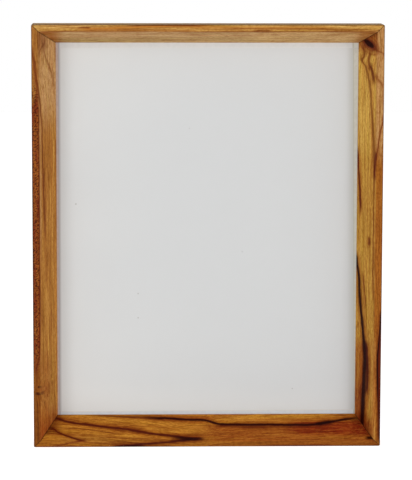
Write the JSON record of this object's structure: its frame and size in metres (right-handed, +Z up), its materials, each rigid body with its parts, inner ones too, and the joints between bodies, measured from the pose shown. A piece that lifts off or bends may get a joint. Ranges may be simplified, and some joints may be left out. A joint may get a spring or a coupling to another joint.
{
  "type": "screen printing frame",
  "caption": "Rectangular mitred hardwood screen printing frame with sloped inner faces and a pale mesh stretched and stapled over its back.",
  "frame": {"origin": "middle of the bounding box at the outer face of the bottom rail, which the frame stands on", "axes": "+X along the bottom rail to the viewer's right, +Y from the front rim towards the mesh, +Z up along the side rails"},
  "size_m": [0.352, 0.031, 0.428],
  "materials": {
    "teak": "oiled satin",
    "spline_wood": "raw",
    "nail_steel": "bright",
    "mesh": "fine plain weave",
    "seal_tape": "matt",
    "cotton_tape": "twill",
    "staple_steel": "bright galvanised"
  },
  "bodies": {
    "root": {"left_rail": "teak", "right_rail": "teak", "bottom_rail": "teak", "top_rail": "teak", "bottom_left_spline": "spline_wood", "bottom_right_spline": "spline_wood", "top_left_spline": "spline_wood", "top_right_spline": "spline_wood", "bottom_left_v_nails": "nail_steel", "bottom_right_v_nails": "nail_steel", "top_left_v_nails": "nail_steel", "top_right_v_nails": "nail_steel", "screen_mesh": "mesh", "left_seal_strip": "seal_tape", "right_seal_strip": "seal_tape", "bottom_seal_strip": "seal_tape", "top_seal_strip": "seal_tape", "left_stapling_tape": "cotton_tape", "right_stapling_tape": "cotton_tape", "bottom_stapling_tape": "cotton_tape", "top_stapling_tape": "cotton_tape", "left_staples": "staple_steel", "right_staples": "staple_steel", "bottom_staples": "staple_steel", "top_staples": "staple_steel"}
  },
  "joints": []
}
